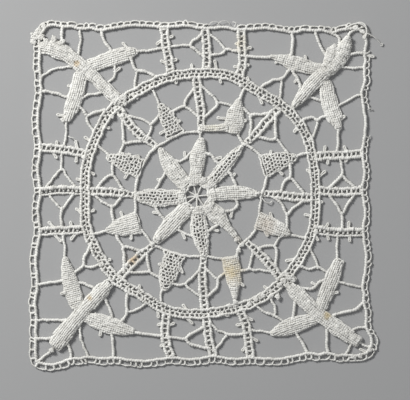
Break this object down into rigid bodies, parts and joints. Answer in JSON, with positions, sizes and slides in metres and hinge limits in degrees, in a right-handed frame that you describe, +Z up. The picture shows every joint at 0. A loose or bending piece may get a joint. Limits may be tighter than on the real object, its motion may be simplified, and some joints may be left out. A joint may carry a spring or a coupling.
{
  "type": "needle lace square",
  "caption": "Flat openwork square of needle lace: a petalled star inside a round braid, corner flowers and a looped edging, joined by bars with picots.",
  "frame": {"origin": "middle of the star's wheel, on the underside where the lace rests", "axes": "+X to the right and +Y to the top of the square as seen from above, +Z up out of the worked face"},
  "size_m": [0.134, 0.1344, 0.0022],
  "materials": {
    "linen_thread": "undyed linen thread, matt, aged to a warm white"
  },
  "bodies": {
    "root": {"lace_square": "linen_thread"}
  },
  "joints": []
}
